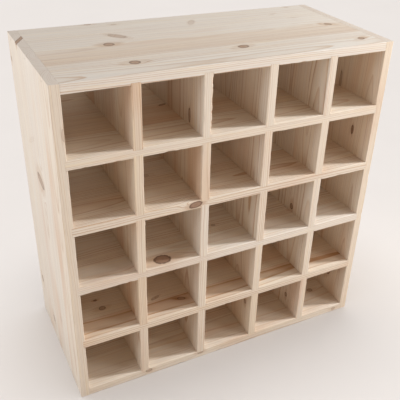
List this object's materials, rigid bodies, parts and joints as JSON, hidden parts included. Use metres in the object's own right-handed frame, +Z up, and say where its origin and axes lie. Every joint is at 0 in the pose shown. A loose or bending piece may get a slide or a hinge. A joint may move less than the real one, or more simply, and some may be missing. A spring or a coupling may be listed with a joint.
{
  "type": "wine rack",
  "caption": "Square open-backed wine rack in solid pine boards: a grid of through cells formed by shelves and short dividers between full-height sides.",
  "frame": {"origin": "centre of the base on the floor", "axes": "+X to the right seen from the front, +Y from the front to the rear, +Z up"},
  "size_m": [0.54, 0.25, 0.54],
  "materials": {
    "pine_sides": "planed and sanded, untreated",
    "pine_panels": "planed and sanded, untreated",
    "pine_shelves": "planed and sanded, untreated",
    "pine_dividers": "planed and sanded, untreated",
    "nail_steel": "dull bright steel"
  },
  "bodies": {
    "root": {"side_left": "pine_sides", "side_right": "pine_sides", "top_panel": "pine_panels", "bottom_panel": "pine_panels", "shelf_1": "pine_shelves", "shelf_2": "pine_shelves", "shelf_3": "pine_shelves", "shelf_4": "pine_shelves", "divider_row1_col1": "pine_dividers", "divider_row1_col2": "pine_dividers", "divider_row1_col3": "pine_dividers", "divider_row1_col4": "pine_dividers", "divider_row2_col1": "pine_dividers", "divider_row2_col2": "pine_dividers", "divider_row2_col3": "pine_dividers", "divider_row2_col4": "pine_dividers", "divider_row3_col1": "pine_dividers", "divider_row3_col2": "pine_dividers", "divider_row3_col3": "pine_dividers", "divider_row3_col4": "pine_dividers", "divider_row4_col1": "pine_dividers", "divider_row4_col2": "pine_dividers", "divider_row4_col3": "pine_dividers", "divider_row4_col4": "pine_dividers", "divider_row5_col1": "pine_dividers", "divider_row5_col2": "pine_dividers", "divider_row5_col3": "pine_dividers", "divider_row5_col4": "pine_dividers", "nails_left": "nail_steel", "nails_right": "nail_steel"}
  },
  "joints": []
}
